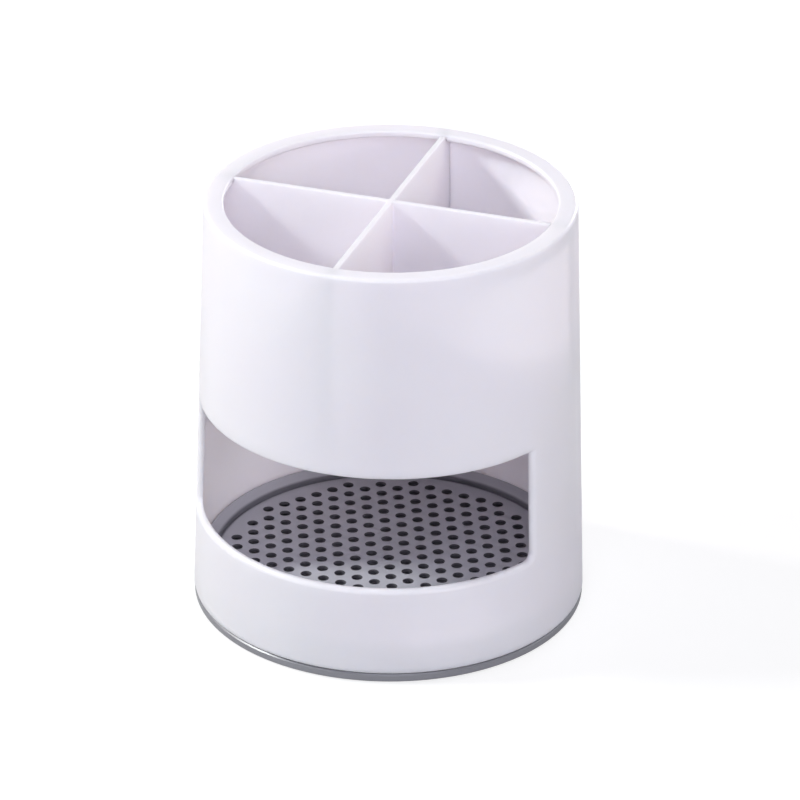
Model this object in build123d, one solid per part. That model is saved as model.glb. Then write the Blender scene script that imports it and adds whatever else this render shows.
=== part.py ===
from build123d import *
import math
import os

# Round chopstick holder, in millimetres. Z is up from the table, and the window faces -Y.
# A tapered one-piece barrel stands on a drip base. A cross-shaped divider is pushed up into
# the barrel from below, and a perforated drain tray rests on the ring of the base.

# Barrel
total_height = 140.5
barrel_bottom_radius = 64.3
barrel_top_radius = 59.6
barrel_wall = 2.1
barrel_foot_bevel = 0.1
lip_width = 6.3
lip_thickness = 2.3
lip_outer_round = 1.1
lip_inner_round = 0.6
lip_underside_bevel = 0.5
lip_root_bevel = 0.6

# Window, whose half angle is measured about the -Y direction
window_sill_height = 33.2
window_head_height = 72.7
window_half_angle = 65.8
window_corner_round = 3.0
window_edge_round = 1.7

# Divider, and the four seats for its arms under the lip
divider_bottom_height = 76.8
divider_top_drop = 0.3
arm_top_thickness = 1.9
arm_bottom_thickness = 2.5
arm_root_round = 0.7
arm_shoulder_bevel = 0.8
arm_edge_bevel = 0.3
divider_wall_gap = 0.3
divider_lip_gap = 0.2
seat_depth = 0.8
seat_gap = 0.2

# Base: a flange under the barrel, a step that the barrel stands on, and a ring inside it
foot_stand = 0.4
flange_thickness = 2.65
flange_inset = 0.15
flange_bottom_round = 0.5
flange_top_bevel = 0.4
step_height = 0.6
step_inset = 1.4
well_floor_thickness = 2.0
well_corner_bevel = 1.2
ring_height = 8.55
ring_thickness = 1.6
ring_barrel_gap = 0.4
ring_edge_bevel = 0.3

# Drain tray
tray_ring_gap = 0.3
tray_barrel_gap = 0.55
tray_rim_thickness = 1.6
tray_rim_land = 0.6
tray_rim_bevel = 0.3
tray_slope_drop = 2.5
tray_slope_run = 3.0
tray_floor_drop = 3.7
tray_floor_thickness = 1.2
tray_underside_bevel = 1.0

# Drain holes: eight-sided, on a triangular lattice that is bounded by a circle
hole_diameter = 3.3
hole_sides = 8
hole_pitch = 6.4
hole_field_margin = 4.2
hole_row_angle = -8.2

# Rubber feet
foot_diameter = 8.0
foot_pocket_depth = 0.7
foot_pocket_gap = 0.15
foot_inset = 12.0
foot_count = 4

# Distance within which an edge counts as lying on a surface
surface_match = 0.1

# Heights and radii that follow from the sizes above
taper_height = total_height - foot_stand - flange_thickness - step_height
taper = (barrel_bottom_radius - barrel_top_radius) / taper_height
barrel_bottom_height = total_height - taper_height
lip_underside_height = total_height - lip_thickness
lip_inner_radius = barrel_top_radius - lip_width
divider_top_height = total_height - divider_top_drop
flange_radius = barrel_bottom_radius - flange_inset
well_floor_height = foot_stand + well_floor_thickness
ring_top_height = barrel_bottom_height + ring_height
tray_rim_height = ring_top_height + tray_rim_thickness
tray_floor_height = tray_rim_height - tray_floor_drop


def outer_radius(height):
    """Radius of the barrel's outside at a height above the table."""
    return barrel_bottom_radius - taper * (height - barrel_bottom_height)


def inner_radius(height):
    """Radius of the barrel's inside at a height above the table."""
    return outer_radius(height) - barrel_wall


ring_outer_radius = inner_radius(ring_top_height) - ring_barrel_gap
ring_inner_radius = ring_outer_radius - ring_thickness
tray_rim_radius = inner_radius(tray_rim_height) - tray_barrel_gap
tray_floor_radius = tray_rim_radius - tray_rim_land - tray_slope_run
hole_field_radius = tray_floor_radius - hole_field_margin


def turned(corners, rounds=None, bevels=None):
    """Solid of revolution from (radius, height) corners, some of them rounded or bevelled."""
    with BuildPart() as solid:
        with BuildSketch(Plane.XZ) as section:
            with BuildLine():
                Polyline(*corners, close=True)
            make_face()
            for place, radius in (rounds or {}).items():
                fillet(section.vertices().sort_by_distance(place)[0], radius)
            for place, length in (bevels or {}).items():
                chamfer(section.vertices().sort_by_distance(place)[0], length)
        revolve(axis=Axis.Z)
    return solid.part


def window_cutter():
    """Wedge about -Y from sill to head, with its two lower corners rounded."""
    reach = 2 * barrel_bottom_radius
    side = math.radians(window_half_angle)
    right, front = reach * math.sin(side), reach * math.cos(side)
    outline = [(0, 0), (right, -front), (reach, -reach), (-reach, -reach), (-right, -front)]
    with BuildPart() as cutter:
        with BuildSketch(Plane.XY.offset(window_sill_height)):
            with BuildLine():
                Polyline(*outline, close=True)
            make_face()
        extrude(amount=window_head_height - window_sill_height)
        sill_edges = cutter.edges().group_by(Axis.Z)[0]
        fillet(sill_edges.sort_by(Axis.Y)[-2:], window_corner_round)
    return cutter.part


def window_rim(shell):
    """Outer edges of the window's sill and ends, without its head."""
    nearest_y = -inner_radius(window_head_height) * math.cos(math.radians(window_half_angle))
    rim = ShapeList()
    for edge in shell.edges():
        middle = edge.position_at(0.5)
        on_outside = abs(math.hypot(middle.X, middle.Y) - outer_radius(middle.Z)) < surface_match
        below_head = middle.Z < window_head_height - surface_match
        above_foot = middle.Z > window_sill_height - surface_match
        if on_outside and below_head and above_foot and middle.Y < nearest_y:
            rim.append(edge)
    return rim


def arm_seats():
    """Four pockets in the lip's underside that keep the divider's arms from turning."""
    width = arm_top_thickness + 2 * seat_gap
    length = 2 * inner_radius(lip_underside_height)
    with BuildPart() as seats:
        with BuildSketch(Plane.XY.offset(lip_underside_height - lip_root_bevel)):
            Rectangle(length, width)
            Rectangle(width, length)
        extrude(amount=lip_root_bevel + seat_depth)
    return seats.part


def barrel():
    foot_outside = (barrel_bottom_radius, barrel_bottom_height)
    foot_inside = (inner_radius(barrel_bottom_height), barrel_bottom_height)
    lip_outside = (barrel_top_radius, total_height)
    lip_edge = (lip_inner_radius, total_height)
    lip_underside = (lip_inner_radius, lip_underside_height)
    lip_root = (inner_radius(lip_underside_height), lip_underside_height)
    with BuildPart() as shell:
        add(turned(
            [foot_outside, lip_outside, lip_edge, lip_underside, lip_root, foot_inside],
            rounds={lip_outside: lip_outer_round, lip_edge: lip_inner_round},
            bevels={
                foot_outside: barrel_foot_bevel,
                lip_underside: lip_underside_bevel,
                lip_root: lip_root_bevel,
            },
        ))
        add(window_cutter(), mode=Mode.SUBTRACT)
        fillet(window_rim(shell), min(window_edge_round, 0.85 * barrel_wall))
        add(arm_seats(), mode=Mode.SUBTRACT)
    return shell.part


def drafted_arms():
    """Two crossing plates, thinner at the top, with rounded roots and longer than the barrel is wide."""
    section = [
        (-arm_bottom_thickness / 2, divider_bottom_height),
        (arm_bottom_thickness / 2, divider_bottom_height),
        (arm_top_thickness / 2, divider_top_height),
        (-arm_top_thickness / 2, divider_top_height),
    ]
    with BuildPart() as arms:
        for side in (Plane.XZ, Plane.YZ):
            with BuildSketch(side):
                with BuildLine():
                    Polyline(*section, close=True)
                make_face()
            extrude(amount=barrel_bottom_radius, both=True)
        middle = (0, 0, (divider_bottom_height + divider_top_height) / 2)
        fillet(arms.edges().sort_by_distance(middle)[:4], arm_root_round)
        levels = arms.edges().group_by(Axis.Z)
        long_edges = [edge for edge in levels[0] + levels[-1] if edge.length > 2 * arm_bottom_thickness]
        chamfer(long_edges, arm_edge_bevel)
    return arms.part


def divider():
    shoulder_height = lip_underside_height + seat_depth - seat_gap
    arm_top_radius = lip_inner_radius - divider_lip_gap
    lower_end = (inner_radius(divider_bottom_height) - divider_wall_gap, divider_bottom_height)
    shoulder = (inner_radius(shoulder_height) - divider_wall_gap, shoulder_height)
    envelope = [
        (0, divider_bottom_height),
        lower_end,
        shoulder,
        (arm_top_radius, shoulder_height),
        (arm_top_radius, divider_top_height),
        (0, divider_top_height),
    ]
    with BuildPart() as cross:
        add(drafted_arms())
        bevels = {lower_end: arm_shoulder_bevel, shoulder: arm_shoulder_bevel}
        add(turned(envelope, bevels=bevels), mode=Mode.INTERSECT)
    return cross.part


def hole_centres():
    """Triangular lattice with one hole on the axis, kept inside a circle."""
    row_spacing = hole_pitch * math.sqrt(3) / 2
    rows = math.ceil(hole_field_radius / row_spacing)
    centres = []
    for row in range(-rows, rows + 1):
        for column in range(-2 * rows, 2 * rows + 1):
            centre = Vector(hole_pitch * (column + row / 2), row_spacing * row)
            if centre.length < hole_field_radius:
                centres.append(centre.rotate(Axis.Z, hole_row_angle))
    return centres


def drain_floor(height):
    """Perforated disc, whose top is at the given height, that fills the tray's rim."""
    hole = Wire.make_polygon(RegularPolygon(hole_diameter / 2, hole_sides, major_radius=False).vertices())
    holes = [hole.moved(Location(centre)) for centre in hole_centres()]
    disc = Face(Wire.make_circle(tray_floor_radius), holes)
    return extrude(disc.moved(Location((0, 0, height))), -tray_floor_thickness)


def drain_tray():
    body_radius = ring_inner_radius - tray_ring_gap
    underside_height = tray_floor_height - tray_floor_thickness
    rim_top = (tray_rim_radius, tray_rim_height)
    rim_underside = (tray_rim_radius, ring_top_height)
    body_underside = (body_radius, underside_height)
    floor = drain_floor(tray_floor_height)
    with BuildPart() as tray:
        add(turned(
            [
                rim_top,
                rim_underside,
                (body_radius, ring_top_height),
                body_underside,
                (tray_floor_radius, underside_height),
                (tray_floor_radius, tray_rim_height - tray_slope_drop),
                (tray_rim_radius - tray_rim_land, tray_rim_height),
            ],
            bevels={
                rim_top: tray_rim_bevel,
                rim_underside: tray_rim_bevel,
                body_underside: tray_underside_bevel,
            },
        ))
        add(floor)
    return tray.part


def foot_places():
    return PolarLocations(flange_radius - foot_inset, foot_count, start_angle=180 / foot_count)


def base():
    flange_underside = (flange_radius, foot_stand)
    flange_top = (flange_radius, foot_stand + flange_thickness)
    step_radius = barrel_bottom_radius - step_inset
    ring_outside = (ring_outer_radius, ring_top_height)
    ring_inside = (ring_inner_radius, ring_top_height)
    well_corner = (ring_inner_radius, well_floor_height)
    with BuildPart() as dish:
        add(turned(
            [
                flange_underside,
                flange_top,
                (step_radius, foot_stand + flange_thickness),
                (step_radius, barrel_bottom_height),
                (ring_outer_radius, barrel_bottom_height),
                ring_outside,
                ring_inside,
                well_corner,
                (0, well_floor_height),
                (0, foot_stand),
            ],
            rounds={flange_underside: flange_bottom_round},
            bevels={
                flange_top: flange_top_bevel,
                ring_outside: ring_edge_bevel,
                ring_inside: ring_edge_bevel,
                well_corner: well_corner_bevel,
            },
        ))
        with BuildSketch(Plane.XY.offset(foot_stand)):
            with foot_places():
                Circle(foot_diameter / 2 + foot_pocket_gap)
        extrude(amount=foot_pocket_depth, mode=Mode.SUBTRACT)
    return dish.part


def foot():
    with BuildPart() as pad:
        with BuildSketch():
            Circle(foot_diameter / 2)
        extrude(amount=foot_stand + foot_pocket_depth)
    return pad.part


os.makedirs("parts", exist_ok=True)
export_step(barrel(), "parts/barrel.step")
export_step(divider(), "parts/divider.step")
export_step(drain_tray(), "parts/drain_tray.step")
export_step(base(), "parts/base.step")
for number, place in enumerate(foot_places().locations, start=1):
    export_step(foot().located(place), f"parts/foot_{number}.step")
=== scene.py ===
import math

import bmesh
import bpy
from mathutils import Matrix, Vector


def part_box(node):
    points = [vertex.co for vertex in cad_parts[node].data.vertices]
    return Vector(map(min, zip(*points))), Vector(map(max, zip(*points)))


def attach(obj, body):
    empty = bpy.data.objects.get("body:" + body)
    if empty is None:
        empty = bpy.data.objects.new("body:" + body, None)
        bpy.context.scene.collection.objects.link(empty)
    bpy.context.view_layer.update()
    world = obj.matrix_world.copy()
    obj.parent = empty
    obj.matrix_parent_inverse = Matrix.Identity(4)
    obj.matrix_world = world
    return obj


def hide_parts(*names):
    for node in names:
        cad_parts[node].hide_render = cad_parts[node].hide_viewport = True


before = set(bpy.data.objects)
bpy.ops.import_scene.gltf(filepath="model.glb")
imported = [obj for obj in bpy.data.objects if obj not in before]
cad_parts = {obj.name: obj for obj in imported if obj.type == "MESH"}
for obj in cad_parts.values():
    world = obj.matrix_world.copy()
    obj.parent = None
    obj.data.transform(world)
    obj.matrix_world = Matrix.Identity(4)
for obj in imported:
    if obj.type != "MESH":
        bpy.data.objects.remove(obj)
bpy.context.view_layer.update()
mm = 0.001
scene = bpy.context.scene
scene.view_settings.view_transform = "Standard"
print("frame loaded:", ", ".join(sorted(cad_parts)))


def addNode(tree, kind, inputs=None, **settings):
    node = tree.nodes.new(kind)
    for name, value in settings.items():
        setattr(node, name, value)
    for name, value in (inputs or {}).items():
        socket = node.inputs[name]
        if isinstance(value, bpy.types.NodeSocket):
            tree.links.new(value, socket)
        else:
            socket.default_value = value
    return node


def newGroup(name, kind, inputs, outputs):
    tree = bpy.data.node_groups.new(name, kind)
    for label, socketType, value in inputs:
        socket = tree.interface.new_socket(label, in_out="INPUT", socket_type=socketType)
        if value is not None:
            socket.default_value = value
    for label, socketType in outputs:
        tree.interface.new_socket(label, in_out="OUTPUT", socket_type=socketType)
    return tree, tree.nodes.new("NodeGroupInput"), tree.nodes.new("NodeGroupOutput")


def calculate(tree, operation, first, second):
    return addNode(tree, "ShaderNodeMath", {0: first, 1: second}, operation=operation).outputs[0]


# Sockets of a mix node that works on colours
mixFactor = 0
mixFirst = 6
mixSecond = 7
mixColour = 2


# Fine moulded texture: a grain for the bump, soft flow mottling for colour, and varied roughness
def buildMouldedSkin():
    tree, given, result = newGroup(
        "mouldedSkin",
        "ShaderNodeTree",
        [
            ("Grain Size", "NodeSocketFloat", 0.4 * mm),
            ("Flow Size", "NodeSocketFloat", 30 * mm),
            ("Light Colour", "NodeSocketColor", None),
            ("Dark Colour", "NodeSocketColor", None),
            ("Roughness", "NodeSocketFloat", 0.4),
            ("Roughness Spread", "NodeSocketFloat", 0.06),
        ],
        [
            ("Colour", "NodeSocketColor"),
            ("Roughness", "NodeSocketFloat"),
            ("Height", "NodeSocketFloat"),
        ],
    )
    place = addNode(tree, "ShaderNodeTexCoord").outputs["Object"]
    grainScale = calculate(tree, "DIVIDE", 1.0, given.outputs["Grain Size"])
    flowScale = calculate(tree, "DIVIDE", 1.0, given.outputs["Flow Size"])
    grain = addNode(
        tree, "ShaderNodeTexNoise",
        {"Vector": place, "Scale": grainScale, "Detail": 3.0, "Roughness": 0.6},
    )
    flow = addNode(
        tree, "ShaderNodeTexNoise",
        {"Vector": place, "Scale": flowScale, "Detail": 2.0, "Roughness": 0.45, "Distortion": 0.6},
    )
    smear = addNode(
        tree, "ShaderNodeMapRange",
        {"Value": flow.outputs["Fac"], "From Min": 0.3, "From Max": 0.7, "To Min": 0.0, "To Max": 1.0},
    )
    colour = addNode(
        tree, "ShaderNodeMix",
        {
            mixFactor: smear.outputs["Result"],
            mixFirst: given.outputs["Light Colour"],
            mixSecond: given.outputs["Dark Colour"],
        },
        data_type="RGBA",
    )
    mixed = calculate(tree, "ADD", smear.outputs["Result"], grain.outputs["Fac"])
    centred = calculate(tree, "SUBTRACT", mixed, 1.0)
    roughness = addNode(
        tree, "ShaderNodeMath",
        {0: centred, 1: given.outputs["Roughness Spread"], 2: given.outputs["Roughness"]},
        operation="MULTIPLY_ADD", use_clamp=True,
    )
    tree.links.new(colour.outputs[mixColour], result.inputs["Colour"])
    tree.links.new(roughness.outputs[0], result.inputs["Roughness"])
    tree.links.new(grain.outputs["Fac"], result.inputs["Height"])
    return tree


mouldedSkin = buildMouldedSkin()


# Mask of a ring about the object's axis: 1 on the ring, falling to 0 at the fade distance from it
def buildRingMask():
    tree, given, result = newGroup(
        "ringMask",
        "ShaderNodeTree",
        [
            ("Ring Radius", "NodeSocketFloat", 50 * mm),
            ("Core", "NodeSocketFloat", 0.2 * mm),
            ("Fade", "NodeSocketFloat", 1.0 * mm),
        ],
        [("Mask", "NodeSocketFloat")],
    )
    place = addNode(tree, "ShaderNodeTexCoord").outputs["Object"]
    level = addNode(tree, "ShaderNodeVectorMath", {0: place, 1: (1.0, 1.0, 0.0)}, operation="MULTIPLY")
    radius = addNode(tree, "ShaderNodeVectorMath", {0: level.outputs[0]}, operation="LENGTH")
    offset = calculate(tree, "SUBTRACT", radius.outputs["Value"], given.outputs["Ring Radius"])
    distance = addNode(tree, "ShaderNodeMath", {0: offset}, operation="ABSOLUTE")
    fall = addNode(
        tree, "ShaderNodeMapRange",
        {
            "Value": distance.outputs[0],
            "From Min": given.outputs["Core"],
            "From Max": given.outputs["Fade"],
            "To Min": 1.0,
            "To Max": 0.0,
        },
        interpolation_type="SMOOTHSTEP",
    )
    tree.links.new(fall.outputs["Result"], result.inputs["Mask"])
    return tree


ringMask = buildRingMask()


# Painted shade in a material: a soft dark line where a turned piece has an inside corner of the given
# radius
def paintCornerShade(material, radius, sizes):
    tree = material.node_tree
    shader = tree.nodes["Principled BSDF"]
    colour = shader.inputs["Base Color"].links[0].from_socket
    mask = addNode(tree, "ShaderNodeGroup", node_tree=ringMask)
    mask.inputs["Ring Radius"].default_value = radius
    mask.inputs["Core"].default_value = sizes["cornerShadeCore"]
    mask.inputs["Fade"].default_value = sizes["cornerShadeFade"]
    mixed = addNode(
        tree, "ShaderNodeMix",
        {mixFactor: mask.outputs["Mask"], mixFirst: colour, mixSecond: (*sizes["cornerShadeColour"], 1.0)},
        data_type="RGBA",
    )
    tree.links.new(mixed.outputs[mixColour], shader.inputs["Base Color"])


# What all the plastics share: their refraction, and how far red, green and blue travel inside them
plasticRefraction = 1.49
plasticScatter = (1.0, 0.95, 0.9)


def mouldedMaterial(name, looks):
    material = bpy.data.materials.new(name)
    material.use_nodes = True
    tree = material.node_tree
    shader = tree.nodes["Principled BSDF"]
    skin = addNode(tree, "ShaderNodeGroup", node_tree=mouldedSkin)
    skin.inputs["Grain Size"].default_value = looks["grainSize"]
    skin.inputs["Flow Size"].default_value = looks["flowSize"]
    skin.inputs["Light Colour"].default_value = (*looks["lightColour"], 1.0)
    skin.inputs["Dark Colour"].default_value = (*looks["darkColour"], 1.0)
    skin.inputs["Roughness"].default_value = looks["roughness"]
    skin.inputs["Roughness Spread"].default_value = looks["roughnessSpread"]
    bump = addNode(
        tree, "ShaderNodeBump",
        {
            "Height": skin.outputs["Height"],
            "Strength": looks["bumpStrength"],
            "Distance": looks["bumpHeight"],
        },
    )
    tree.links.new(skin.outputs["Colour"], shader.inputs["Base Color"])
    tree.links.new(skin.outputs["Roughness"], shader.inputs["Roughness"])
    tree.links.new(bump.outputs["Normal"], shader.inputs["Normal"])
    shader.inputs["IOR"].default_value = plasticRefraction
    shader.inputs["Specular IOR Level"].default_value = looks["specular"]
    shader.inputs["Subsurface Weight"].default_value = looks["translucency"]
    shader.inputs["Subsurface Radius"].default_value = plasticScatter
    shader.inputs["Subsurface Scale"].default_value = looks["translucentDepth"]
    return material


whiteLooks = {
    "lightColour": (0.952, 0.892, 0.945),
    "darkColour": (0.94, 0.876, 0.935),
    "roughness": 0.36,
    "roughnessSpread": 0.08,
    "grainSize": 0.35 * mm,
    "flowSize": 45 * mm,
    "bumpStrength": 0.25,
    "bumpHeight": 0.01 * mm,
    "specular": 0.5,
    "translucency": 1.0,
    "translucentDepth": 3.5 * mm,
}
greyLooks = {
    "lightColour": (0.545, 0.55, 0.58),
    "darkColour": (0.508, 0.512, 0.54),
    "roughness": 0.46,
    "roughnessSpread": 0.1,
    "grainSize": 0.3 * mm,
    "flowSize": 25 * mm,
    "bumpStrength": 0.35,
    "bumpHeight": 0.012 * mm,
    "specular": 0.45,
    "translucency": 0.0,
    "translucentDepth": 1 * mm,
}
baseLooks = {
    **greyLooks,
    "lightColour": (0.285, 0.285, 0.302),
    "darkColour": (0.265, 0.265, 0.281),
    "roughness": 0.32,
    "specular": 0.8,
}
# Painted shade: a much darker copy of the grey for the hole linings, standing in for the shade inside
# the holes
holeShadeLooks = {
    **greyLooks,
    "lightColour": (0.10, 0.098, 0.108),
    "darkColour": (0.08, 0.078, 0.086),
}
rubberLooks = {
    "lightColour": (0.045, 0.045, 0.048),
    "darkColour": (0.03, 0.03, 0.032),
    "roughness": 0.75,
    "roughnessSpread": 0.1,
    "grainSize": 0.5 * mm,
    "flowSize": 4 * mm,
    "bumpStrength": 0.5,
    "bumpHeight": 0.03 * mm,
    "specular": 0.3,
    "translucency": 0.0,
    "translucentDepth": 1 * mm,
}
whitePlastic = mouldedMaterial("whitePlastic", whiteLooks)
greyPlastic = mouldedMaterial("greyPlastic", greyLooks)
baseGrey = mouldedMaterial("baseGrey", baseLooks)
holeShadeGrey = mouldedMaterial("holeShadeGrey", holeShadeLooks)
footRubber = mouldedMaterial("footRubber", rubberLooks)


def dressNode(name, material):
    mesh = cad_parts[name].data
    mesh.materials.clear()
    mesh.materials.append(material)


for name in ("barrel", "divider"):
    dressNode(name, whitePlastic)
dressNode("base", baseGrey)
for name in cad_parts:
    if name.startswith("foot_"):
        dressNode(name, footRubber)
print("materials made")


# Points of a turned section: corners are (radius, height, bend), and a bend of 0 stays sharp
def roundedSection(corners, steps):
    points = []
    for index, (radius, height, bend) in enumerate(corners):
        corner = Vector((radius, height))
        if bend == 0:
            points.append(corner)
            continue
        before = Vector(corners[index - 1][:2]) - corner
        after = Vector(corners[index + 1][:2]) - corner
        half = before.angle(after) / 2
        reach = bend / math.tan(half)
        start = corner + before.normalized() * reach
        end = corner + after.normalized() * reach
        inward = (before.normalized() + after.normalized()).normalized()
        middle = corner + inward * bend / math.sin(half)
        for step in range(steps + 1):
            along = start.lerp(end, step / steps) - middle
            points.append(middle + along.normalized() * bend)
    return points


def lathe(build, section, segments):
    angles = [2 * math.pi * step / segments for step in range(segments)]
    rings = []
    for radius, height in section:
        places = [(radius * math.cos(angle), radius * math.sin(angle), height) for angle in angles]
        rings.append([build.verts.new(place) for place in places])
    for first, second in zip(rings, rings[1:]):
        for step in range(segments):
            following = (step + 1) % segments
            build.faces.new((first[step], first[following], second[following], second[step]))


def meshFrom(build, name):
    mesh = bpy.data.meshes.new(name)
    build.to_mesh(mesh)
    build.free()
    return mesh


# The drain tray's section and holes; its outside radius and its heights come from the frame
traySizes = {
    "rimThickness": 1.6 * mm,
    "rimLand": 0.6 * mm,
    "rimRound": 0.3 * mm,
    "bodyInset": 1.7 * mm,
    "slopeRun": 3.0 * mm,
    "slopeDrop": 2.5 * mm,
    "slopeRound": 0.4 * mm,
    "floorDrop": 3.7 * mm,
    "undersideRound": 1.0 * mm,
    "segments": 192,
    "roundSteps": 4,
    "holeRadius": 1.65 * mm,
    "holeRound": 0.2 * mm,
    "holeSides": 20,
    "holeRoundSteps": 3,
    "holePitch": 6.4 * mm,
    "fieldMargin": 4.2 * mm,
    "rowAngle": -8.2,
    # Painted shade: the width and colour of the dark line in the inside corner at the foot of the
    # slope
    "cornerShadeCore": 0.1 * mm,
    "cornerShadeFade": 0.95 * mm,
    "cornerShadeColour": (0.16, 0.16, 0.177),
    "mergeDistance": 0.004 * mm,
    "sharpestBend": 40,
    "levelNormal": 0.99999,
}


# One hole's lining, from the tray's upper face down to its underside, about the origin
def holeLining(sizes, thickness):
    radius = sizes["holeRadius"]
    corners = [
        (radius + sizes["holeRound"], 0, 0),
        (radius, 0, sizes["holeRound"]),
        (radius, -thickness, 0),
    ]
    section = roundedSection(corners, sizes["holeRoundSteps"])
    build = bmesh.new()
    lathe(build, section[1:], sizes["holeSides"])
    mesh = meshFrom(build, "holeLining")
    # The lining takes the painted-shade material
    mesh.materials.append(holeShadeGrey)
    return mesh


# Rim of the tray, open where the perforated plate fills it above and below
def trayRim(sizes, outside, top, bottom):
    floorHeight = top - sizes["floorDrop"]
    plateRadius = outside - sizes["rimLand"] - sizes["slopeRun"]
    seat = top - sizes["rimThickness"]
    corners = [
        (plateRadius, floorHeight, 0),
        (plateRadius, top - sizes["slopeDrop"], sizes["slopeRound"]),
        (outside - sizes["rimLand"], top, sizes["rimRound"] / 2),
        (outside, top, sizes["rimRound"]),
        (outside, seat, sizes["rimRound"]),
        (outside - sizes["bodyInset"], seat, sizes["rimRound"]),
        (outside - sizes["bodyInset"], bottom, sizes["undersideRound"]),
        (plateRadius, bottom, 0),
    ]
    build = bmesh.new()
    lathe(build, roundedSection(corners, sizes["roundSteps"]), sizes["segments"])
    return meshFrom(build, "trayRim")


# Perforated plate: a triangular lattice of points, cut to a circle, carries the holes of both faces
# and the linings between them
def buildPerforation(lining):
    tree, given, result = newGroup(
        "perforation",
        "GeometryNodeTree",
        [
            ("Rim", "NodeSocketGeometry", None),
            ("Hole Pitch", "NodeSocketFloat", 6.4 * mm),
            ("Field Radius", "NodeSocketFloat", 50 * mm),
            ("Row Angle", "NodeSocketFloat", 0.0),
            ("Reach", "NodeSocketInt", 10),
            ("Hole Radius", "NodeSocketFloat", 1.6 * mm),
            ("Edge Radius", "NodeSocketFloat", 1.9 * mm),
            ("Hole Sides", "NodeSocketInt", 16),
            ("Plate Radius", "NodeSocketFloat", 57 * mm),
            ("Plate Sides", "NodeSocketInt", 192),
            ("Top Height", "NodeSocketFloat", 0.0),
            ("Bottom Height", "NodeSocketFloat", 0.0),
            ("Material", "NodeSocketMaterial", None),
            ("Hole Shade Material", "NodeSocketMaterial", None),
        ],
        [("Geometry", "NodeSocketGeometry")],
    )
    wanted = given.outputs

    # A square grid leans over by 60 degrees into the triangular lattice
    span = calculate(tree, "MULTIPLY", wanted["Reach"], 2.0)
    count = calculate(tree, "ADD", span, 1.0)
    width = calculate(tree, "MULTIPLY", span, wanted["Hole Pitch"])
    grid = addNode(
        tree, "GeometryNodeMeshGrid",
        {"Size X": width, "Size Y": width, "Vertices X": count, "Vertices Y": count},
    )
    position = addNode(tree, "GeometryNodeInputPosition").outputs[0]
    square = addNode(tree, "ShaderNodeSeparateXYZ", {0: position})
    halfRow = calculate(tree, "MULTIPLY", square.outputs["Y"], 0.5)
    lean = calculate(tree, "ADD", square.outputs["X"], halfRow)
    rise = calculate(tree, "MULTIPLY", square.outputs["Y"], math.sqrt(3) / 2)
    leaning = addNode(tree, "ShaderNodeCombineXYZ", {"X": lean, "Y": rise})
    lattice = addNode(
        tree, "GeometryNodeSetPosition",
        {"Geometry": grid.outputs["Mesh"], "Position": leaning.outputs[0]},
    )
    distance = addNode(tree, "ShaderNodeVectorMath", {0: position}, operation="LENGTH")
    outside = addNode(
        tree, "FunctionNodeCompare", {0: distance.outputs["Value"], 1: wanted["Field Radius"]},
        data_type="FLOAT", operation="GREATER_THAN",
    )
    points = addNode(tree, "GeometryNodeMeshToPoints", {"Mesh": lattice.outputs["Geometry"]})
    kept = addNode(
        tree, "GeometryNodeDeleteGeometry",
        {"Geometry": points.outputs[0], "Selection": outside.outputs[0]},
        domain="POINT",
    )
    rowTurn = addNode(tree, "ShaderNodeCombineXYZ", {"Z": wanted["Row Angle"]})
    turned = addNode(
        tree, "GeometryNodeTransform",
        {"Geometry": kept.outputs[0], "Rotation": rowTurn.outputs[0]},
    ).outputs[0]

    # One face of the plate: a disc with a round opening at each point, at the given height
    def plateFace(openingRadius, height, turnOver):
        opening = addNode(
            tree, "GeometryNodeCurvePrimitiveCircle",
            {"Resolution": wanted["Hole Sides"], "Radius": openingRadius},
        )
        openings = addNode(
            tree, "GeometryNodeInstanceOnPoints",
            {"Points": turned, "Instance": opening.outputs["Curve"]},
        )
        border = addNode(
            tree, "GeometryNodeCurvePrimitiveCircle",
            {"Resolution": wanted["Plate Sides"], "Radius": wanted["Plate Radius"]},
        )
        curves = addNode(tree, "GeometryNodeJoinGeometry")
        tree.links.new(openings.outputs[0], curves.inputs[0])
        tree.links.new(border.outputs["Curve"], curves.inputs[0])
        whole = addNode(tree, "GeometryNodeRealizeInstances", {"Geometry": curves.outputs[0]})
        filled = addNode(tree, "GeometryNodeFillCurve", {"Curve": whole.outputs[0]})
        lift = addNode(tree, "ShaderNodeCombineXYZ", {"Z": height})
        placed = addNode(
            tree, "GeometryNodeTransform",
            {"Geometry": filled.outputs[0], "Translation": lift.outputs[0]},
        ).outputs[0]
        if turnOver:
            placed = addNode(tree, "GeometryNodeFlipFaces", {"Mesh": placed}).outputs[0]
        return placed

    tube = addNode(tree, "GeometryNodeObjectInfo", {"Object": lining}, transform_space="ORIGINAL")
    tubes = addNode(
        tree, "GeometryNodeInstanceOnPoints",
        {"Points": turned, "Instance": tube.outputs["Geometry"]},
    )
    tubeLift = addNode(tree, "ShaderNodeCombineXYZ", {"Z": wanted["Top Height"]})
    raised = addNode(
        tree, "GeometryNodeTransform",
        {"Geometry": tubes.outputs[0], "Translation": tubeLift.outputs[0]},
    ).outputs[0]
    tray = addNode(tree, "GeometryNodeJoinGeometry")
    faces = (
        wanted["Rim"],
        plateFace(wanted["Edge Radius"], wanted["Top Height"], False),
        plateFace(wanted["Hole Radius"], wanted["Bottom Height"], True),
        raised,
    )
    for part in faces:
        tree.links.new(part, tray.inputs[0])
    whole = addNode(tree, "GeometryNodeRealizeInstances", {"Geometry": tray.outputs[0]})
    merged = addNode(
        tree, "GeometryNodeMergeByDistance",
        {"Geometry": whole.outputs[0], "Distance": traySizes["mergeDistance"]},
    )
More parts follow.
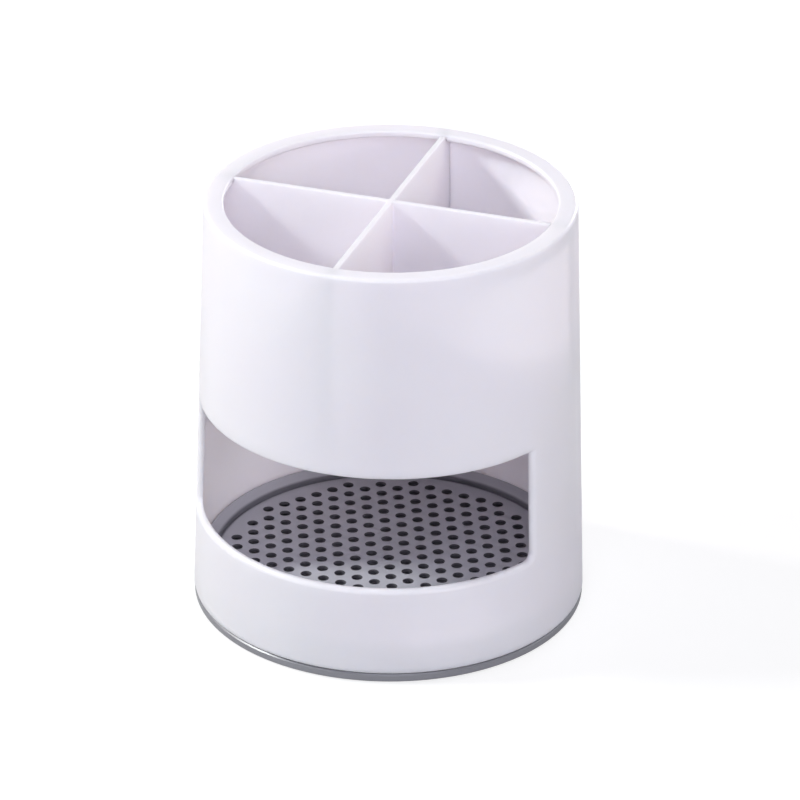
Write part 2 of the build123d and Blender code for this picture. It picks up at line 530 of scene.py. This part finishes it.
    # The linings keep their painted-shade material; every other face takes the plate's grey
    lined = addNode(tree, "GeometryNodeMaterialSelection", {"Material": wanted["Hole Shade Material"]})
    unlined = addNode(tree, "FunctionNodeBooleanMath", {0: lined.outputs[0]}, operation="NOT")
    coloured = addNode(
        tree, "GeometryNodeSetMaterial",
        {
            "Geometry": merged.outputs[0],
            "Selection": unlined.outputs[0],
            "Material": wanted["Material"],
        },
    )
    tree.links.new(coloured.outputs[0], result.inputs[0])
    return tree


# Faces outward, smooth across gentle bends, and creased where a bend is sharp or a flat face begins
def smoothFaces(mesh, sizes):
    build = bmesh.new()
    build.from_mesh(mesh)
    bmesh.ops.recalc_face_normals(build, faces=build.faces)
    for face in build.faces:
        face.smooth = True
    for edge in build.edges:
        flats = [abs(face.normal.z) > sizes["levelNormal"] for face in edge.link_faces]
        bent = edge.calc_face_angle(math.pi) > math.radians(sizes["sharpestBend"])
        edge.smooth = not bent and flats.count(True) != 1
    build.to_mesh(mesh)
    build.free()


def buildTray():
    low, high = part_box("drain_tray")
    floorHeight = high.z - traySizes["floorDrop"]
    plateRadius = high.x - traySizes["rimLand"] - traySizes["slopeRun"]
    fieldRadius = plateRadius - traySizes["fieldMargin"]
    # Painted shade: a dark ring on the grey where the slope meets the plate
    paintCornerShade(greyPlastic, plateRadius, traySizes)
    lining = bpy.data.objects.new("holeLining", holeLining(traySizes, floorHeight - low.z))
    shape = bpy.data.objects.new("trayShape", trayRim(traySizes, high.x, high.z, low.z))
    for helper in (lining, shape):
        scene.collection.objects.link(helper)
    tree = buildPerforation(lining)
    modifier = shape.modifiers.new("perforation", "NODES")
    modifier.node_group = tree
    values = {
        "Hole Pitch": traySizes["holePitch"],
        "Field Radius": fieldRadius,
        "Row Angle": math.radians(traySizes["rowAngle"]),
        "Reach": math.ceil(2 * fieldRadius / traySizes["holePitch"]),
        "Hole Radius": traySizes["holeRadius"],
        "Edge Radius": traySizes["holeRadius"] + traySizes["holeRound"],
        "Hole Sides": traySizes["holeSides"],
        "Plate Radius": plateRadius,
        "Plate Sides": traySizes["segments"],
        "Top Height": floorHeight,
        "Bottom Height": low.z,
        "Material": greyPlastic,
        "Hole Shade Material": holeShadeGrey,
    }
    for item in tree.interface.items_tree:
        if item.in_out == "INPUT" and item.name in values:
            modifier[item.identifier] = values[item.name]
    bpy.context.view_layer.update()
    evaluated = shape.evaluated_get(bpy.context.evaluated_depsgraph_get())
    mesh = bpy.data.meshes.new_from_object(evaluated)
    mesh.name = "drainTray"
    smoothFaces(mesh, traySizes)
    for helper in (shape, lining):
        bpy.data.objects.remove(helper)
    tray = bpy.data.objects.new("drainTray", mesh)
    scene.collection.objects.link(tray)
    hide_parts("drain_tray")
    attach(tray, "drain_tray")
    print("drain tray built:", len(mesh.polygons), "faces")


buildTray()


# Where the viewer stands: right and away are level directions, seen from the camera
cameraSizes = {
    "azimuth": 18.46,
    "elevation": 27.24,
    "distance": 1.484,
    "aimRight": 3.35 * mm,
    "aimHeight": 68.78 * mm,
    "roll": 0.428,
    "focalLength": 205.4,
    "sensorWidth": 36.0,
    "clipStart": 0.05,
    "clipEnd": 20.0,
}
turn = math.radians(cameraSizes["azimuth"])
rightward = Vector((math.cos(turn), math.sin(turn), 0))
away = Vector((-math.sin(turn), math.cos(turn), 0))


def makeCamera():
    tilt = math.radians(cameraSizes["elevation"])
    roll = math.radians(cameraSizes["roll"])
    back = -away * math.cos(tilt) + Vector((0, 0, math.sin(tilt)))
    upward = away * math.sin(tilt) + Vector((0, 0, math.cos(tilt)))
    camera = bpy.data.objects.new("camera", bpy.data.cameras.new("camera"))
    camera.data.sensor_width = cameraSizes["sensorWidth"]
    camera.data.lens = cameraSizes["focalLength"]
    camera.data.clip_start = cameraSizes["clipStart"]
    camera.data.clip_end = cameraSizes["clipEnd"]
    aim = rightward * cameraSizes["aimRight"] + Vector((0, 0, cameraSizes["aimHeight"]))
    place = aim + back * cameraSizes["distance"]
    xAxis = rightward * math.cos(roll) + upward * math.sin(roll)
    yAxis = upward * math.cos(roll) - rightward * math.sin(roll)
    camera.matrix_world = Matrix((
        (xAxis.x, yAxis.x, back.x, place.x),
        (xAxis.y, yAxis.y, back.y, place.y),
        (xAxis.z, yAxis.z, back.z, place.z),
        (0, 0, 0, 1),
    ))
    scene.collection.objects.link(camera)
    scene.camera = camera


makeCamera()

# Softboxes: side is measured round from the viewer's right, and 90 is behind the object. Light is
# the level that each one gives a white face turned to it
lampSizes = {
    "key": {"side": 180, "height": 38, "size": 0.25, "light": 0.68, "colour": (0.95, 0.985, 0.98)},
    "backLeft": {"side": 158, "height": 36, "size": 0.12, "light": 0.34, "colour": (1.0, 0.92, 0.94)},
    "back": {"side": 65, "height": 10, "size": 0.6, "light": 0.52, "colour": (0.87, 0.875, 1.0)},
    "backRight": {"side": 24, "height": 44, "size": 0.6, "light": 0.27, "colour": (0.99, 0.975, 0.98)},
    "front": {"side": 270, "height": 38, "size": 0.9, "light": 0.40, "colour": (0.82, 0.855, 1.0)},
    "right": {"side": 304, "height": 12, "size": 0.6, "light": 0.31, "colour": (0.97, 0.94, 1.0)},
}
studioSizes = {
    "lampDistance": 1.6,
    "powerPerLight": 9.86,
    "worldColour": (1.0, 1.0, 1.0),
    "worldStrength": 0.02,
    "floorRadius": 1.6,
    "floorSides": 96,
    "floorBounce": (0.50, 0.50, 0.50),
    "floorShade": (0.30, 0.30, 0.30),
    "floorLift": 0.76,
}


def makeLamp(name, sizes):
    side = math.radians(sizes["side"])
    height = math.radians(sizes["height"])
    level = rightward * math.cos(side) + away * math.sin(side)
    direction = level * math.cos(height) + Vector((0, 0, math.sin(height)))
    data = bpy.data.lights.new(name, "AREA")
    data.shape = "SQUARE"
    data.size = sizes["size"]
    data.energy = sizes["light"] * studioSizes["powerPerLight"] * studioSizes["lampDistance"] ** 2
    data.color = sizes["colour"]
    lamp = bpy.data.objects.new(name, data)
    lamp.location = direction * studioSizes["lampDistance"] + Vector((0, 0, cameraSizes["aimHeight"]))
    lamp.rotation_mode = "QUATERNION"
    lamp.rotation_quaternion = direction.to_track_quat("Z", "Y")
    scene.collection.objects.link(lamp)


for lampName, sizes in lampSizes.items():
    makeLamp(lampName, sizes)


def makeWorld():
    world = bpy.data.worlds.new("studio")
    world.use_nodes = True
    tree = world.node_tree
    lit = tree.nodes["Background"]
    lit.inputs["Color"].default_value = (*studioSizes["worldColour"], 1.0)
    lit.inputs["Strength"].default_value = studioSizes["worldStrength"]
    seen = addNode(tree, "ShaderNodeBackground", {"Color": (1.0, 1.0, 1.0, 1.0), "Strength": 1.0})
    path = addNode(tree, "ShaderNodeLightPath")
    mix = addNode(
        tree, "ShaderNodeMixShader",
        {0: path.outputs["Is Camera Ray"], 1: lit.outputs[0], 2: seen.outputs[0]},
    )
    tree.links.new(mix.outputs[0], tree.nodes["World Output"].inputs["Surface"])
    scene.world = world


def makeFloor():
    mesh = bpy.data.meshes.new("floor")
    build = bmesh.new()
    bmesh.ops.create_circle(
        build, cap_ends=True, segments=studioSizes["floorSides"], radius=studioSizes["floorRadius"]
    )
    build.to_mesh(mesh)
    build.free()
    floor = bpy.data.objects.new("floor", mesh)
    scene.collection.objects.link(floor)
    material = bpy.data.materials.new("paleFloor")
    material.use_nodes = True
    tree = material.node_tree
    tree.nodes.remove(tree.nodes["Principled BSDF"])
    bounce = addNode(tree, "ShaderNodeBsdfDiffuse", {"Color": (*studioSizes["floorBounce"], 1.0)})
    shade = addNode(tree, "ShaderNodeBsdfDiffuse", {"Color": (*studioSizes["floorShade"], 1.0)})
    lift = addNode(tree, "ShaderNodeEmission", {"Strength": studioSizes["floorLift"]})
    seen = addNode(tree, "ShaderNodeAddShader", {0: shade.outputs[0], 1: lift.outputs[0]})
    path = addNode(tree, "ShaderNodeLightPath")
    either = addNode(
        tree, "ShaderNodeMixShader",
        {0: path.outputs["Is Camera Ray"], 1: bounce.outputs[0], 2: seen.outputs[0]},
    )
    tree.links.new(either.outputs[0], tree.nodes["Material Output"].inputs["Surface"])
    mesh.materials.append(material)


makeWorld()
makeFloor()
print("camera, lamps and floor set")
